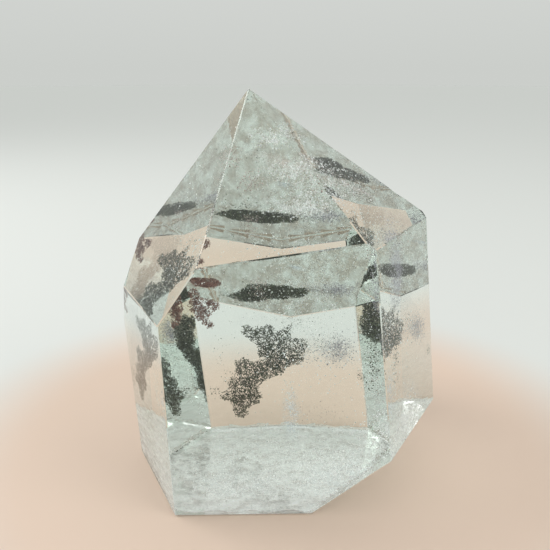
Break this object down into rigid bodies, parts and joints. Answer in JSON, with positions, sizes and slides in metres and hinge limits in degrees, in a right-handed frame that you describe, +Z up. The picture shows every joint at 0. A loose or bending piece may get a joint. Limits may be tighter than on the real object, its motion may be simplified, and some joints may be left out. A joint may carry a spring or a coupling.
{
  "type": "phantom quartz",
  "caption": "Polished clear quartz point standing on a flat base, with a dark green chlorite phantom and a red-brown iron cloud sealed inside near its back.",
  "frame": {"origin": "middle of the bounding box at the flat base, on the ground", "axes": "+Z up towards the crystal's tip, -Y out of the broad front prism face, +X to the viewer's right"},
  "size_m": [0.0642, 0.0572, 0.0758],
  "materials": {
    "clear_quartz": "polished, clear with a faint green tint",
    "chlorite": "matt mineral dust",
    "iron_stain": "matt mineral dust"
  },
  "bodies": {
    "root": {"quartz_front": "clear_quartz", "quartz_back": "clear_quartz", "chlorite_phantom": "chlorite", "iron_phantom": "iron_stain"}
  },
  "joints": []
}
